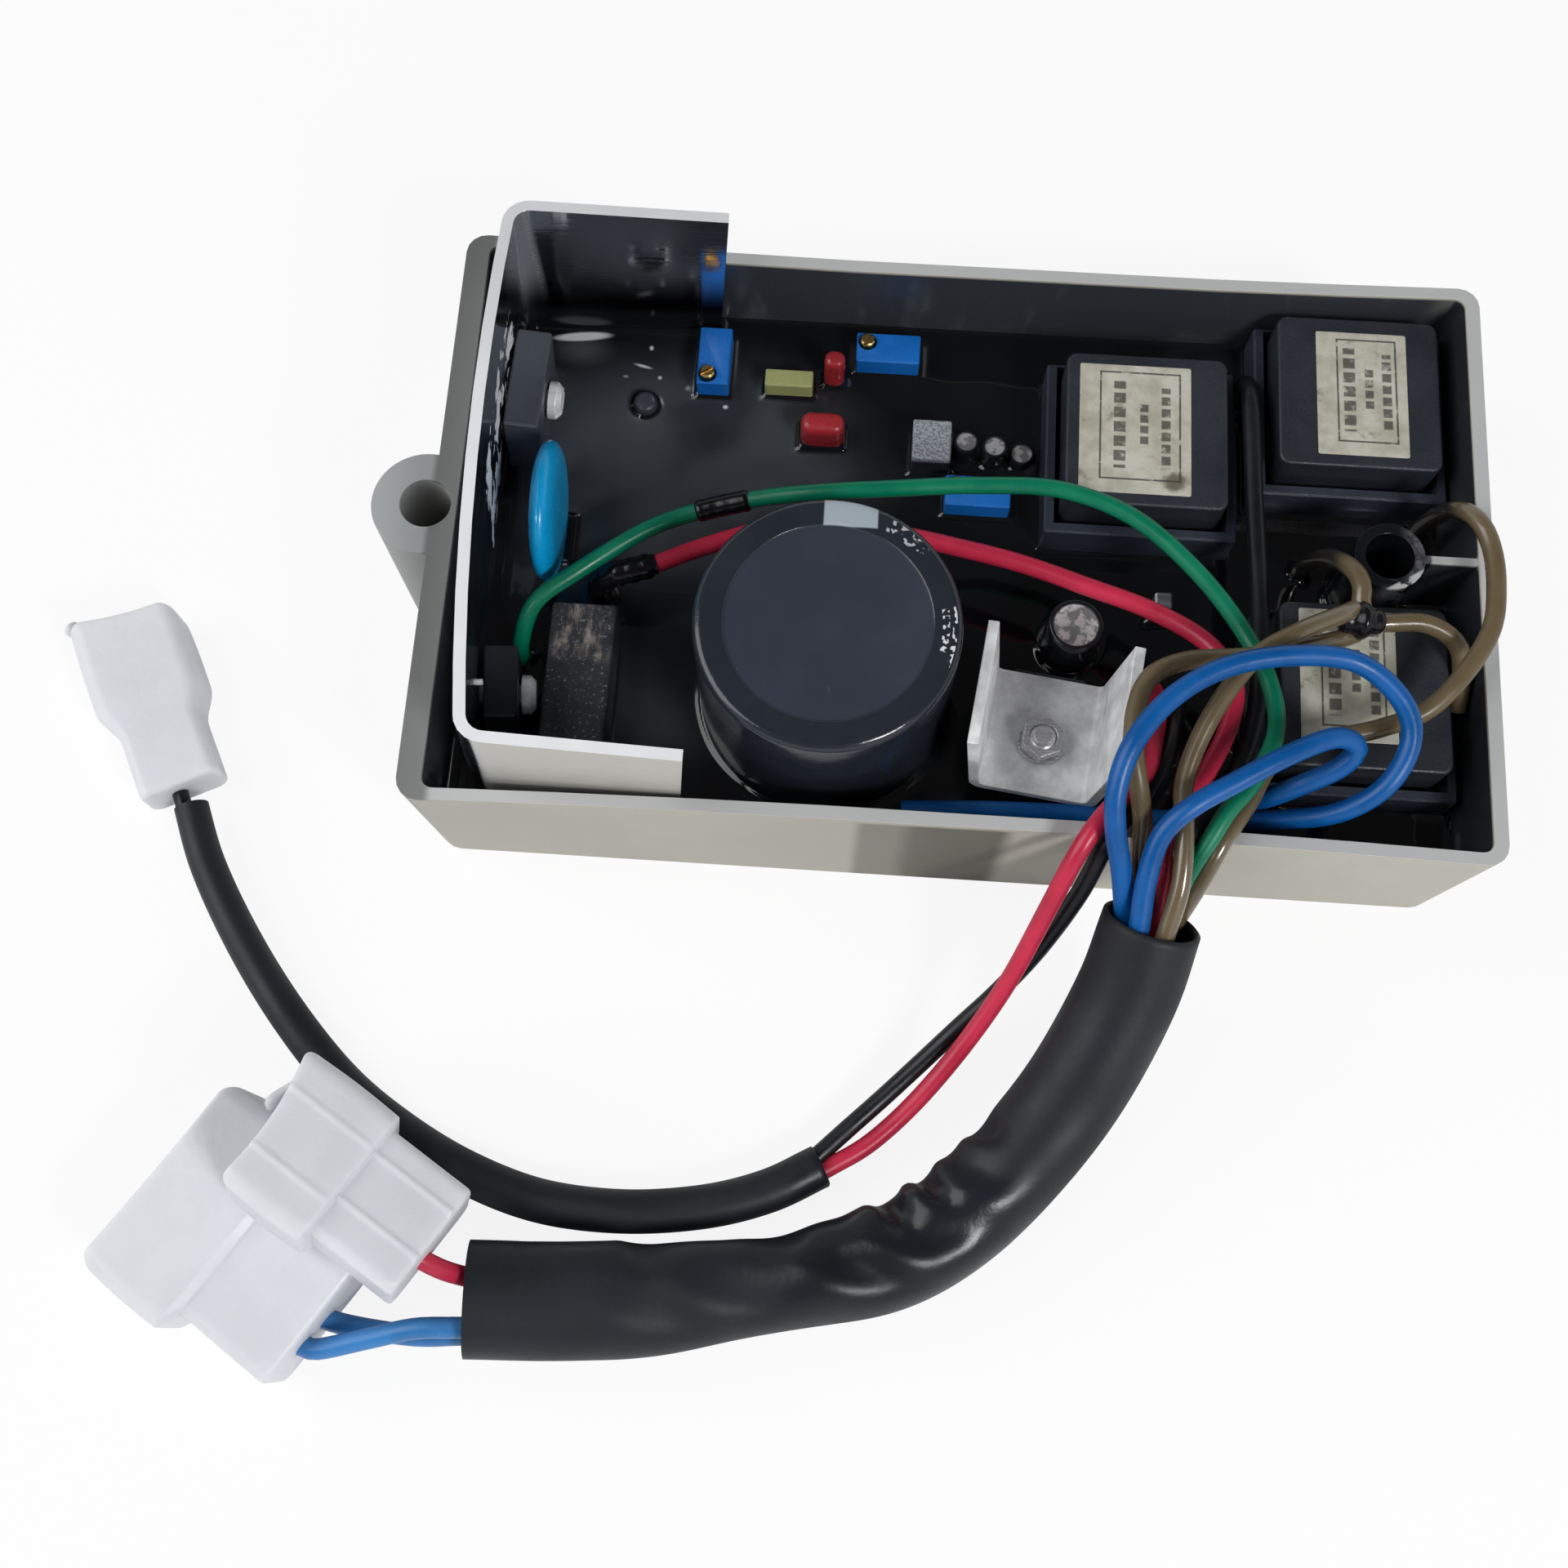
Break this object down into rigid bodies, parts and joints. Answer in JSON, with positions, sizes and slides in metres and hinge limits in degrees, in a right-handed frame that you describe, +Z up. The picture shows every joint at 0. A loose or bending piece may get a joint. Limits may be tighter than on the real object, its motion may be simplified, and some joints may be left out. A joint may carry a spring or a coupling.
{
  "type": "automatic voltage regulator",
  "caption": "Potted generator voltage regulator: open plastic tray with heat sinks, capacitor, transformers and trimmers, wires gathered in sleeves to nylon connectors.",
  "frame": {"origin": "middle of the underside of the box round the rigid part, without its cords: the tray stands on z = 0", "axes": "+X along the tray from the ear to the boss, +Y away from the side that the wires leave by, +Z up out of the tray"},
  "size_m": [0.2066, 0.1614, 0.0441],
  "materials": {
    "tray_plastic": "satin moulded grey plastic, a little dusty",
    "board_laminate": "hidden laminate",
    "potting_resin": "glossy black poured resin",
    "aluminium_sheet": "bright rolled sheet",
    "steel_fastener": "plated",
    "brass_screw": "turned",
    "black_plastic": "moulded case",
    "capacitor_sleeve": "shrunk sleeve",
    "transformer_plastic": "moulded case and filled core",
    "trimmer_blue": "moulded blue case",
    "varistor_blue": "dipped blue coating",
    "film_yellow": "moulded yellow box",
    "film_red": "dipped red coating",
    "chip_grey": "grey top over a dark case",
    "tinned_metal": "tinned",
    "wire_green": "insulated wire",
    "wire_red": "insulated wire",
    "wire_black": "insulated wire",
    "wire_blue": "insulated wire",
    "wire_brown": "insulated wire",
    "sleeve_black": "soft black sleeve",
    "nylon_white": "milky translucent nylon"
  },
  "bodies": {
    "regulator": {"tray": "tray_plastic", "circuit_board": "board_laminate", "potting_compound": "potting_resin", "heat_sink_bracket": "aluminium_sheet", "power_transistor": "black_plastic", "power_transistor_screw": "steel_fastener", "thyristor": "black_plastic", "thyristor_screw": "steel_fastener", "filter_capacitor": "capacitor_sleeve", "transformer_case_1": "transformer_plastic", "transformer_case_2": "transformer_plastic", "transformer_case_3": "transformer_plastic", "transformer_core_1": "transformer_plastic", "transformer_core_2": "transformer_plastic", "transformer_core_3": "transformer_plastic", "trimmer_1": "trimmer_blue", "trimmer_2": "trimmer_blue", "trimmer_3": "trimmer_blue", "electrolytic_capacitor": "black_plastic", "small_electrolytic_1": "black_plastic", "small_electrolytic_2": "black_plastic", "small_electrolytic_3": "black_plastic", "thermistor": "black_plastic", "box_capacitor": "black_plastic", "film_capacitor_yellow": "film_yellow", "film_capacitor_red_small": "film_red", "film_capacitor_red_large": "film_red", "optocoupler": "chip_grey", "terminal_post": "tinned_metal", "varistor": "varistor_blue", "transistor_heat_sink": "aluminium_sheet", "regulator_transistor": "black_plastic", "fin_washer": "steel_fastener", "fin_nut": "steel_fastener", "fin_screw": "steel_fastener", "wire_green": "wire_green", "wire_red_main": "wire_red", "wire_red_branch": "wire_red", "wire_black_branch": "wire_black", "wire_black_main": "wire_black", "wire_blue_1": "wire_blue", "wire_blue_2": "wire_blue", "wire_brown_outer": "wire_brown", "wire_brown_bridge": "wire_brown", "wire_brown_tape_1": "wire_brown", "wire_brown_tape_2": "wire_brown", "shrink_sleeve_red": "sleeve_black", "stub_blue_1": "wire_blue", "stub_blue_2": "wire_blue", "stub_red": "wire_red", "sleeve_main": "sleeve_black", "sleeve_branch": "sleeve_black", "connector_two_way": "nylon_white", "connector_four_way": "nylon_white", "connector_six_way": "nylon_white"},
    "adjuster_1": {"trimmer_screw_1": "brass_screw"},
    "adjuster_2": {"trimmer_screw_2": "brass_screw"},
    "adjuster_3": {"trimmer_screw_3": "brass_screw"}
  },
  "joints": [
    {"name": "trimmer_1_turn", "type": "hinge", "parent": "regulator", "child": "adjuster_1", "pos_m": [-0.03352, 0.02874, 0.0175], "axis": [0, 0, 1], "continuous": true},
    {"name": "trimmer_2_turn", "type": "hinge", "parent": "regulator", "child": "adjuster_2", "pos_m": [-0.00987, 0.03562, 0.0175], "axis": [0, 0, 1], "continuous": true},
    {"name": "trimmer_3_turn", "type": "hinge", "parent": "regulator", "child": "adjuster_3", "pos_m": [0.00434, 0.01282, 0.0175], "axis": [0, 0, 1], "continuous": true}
  ]
}
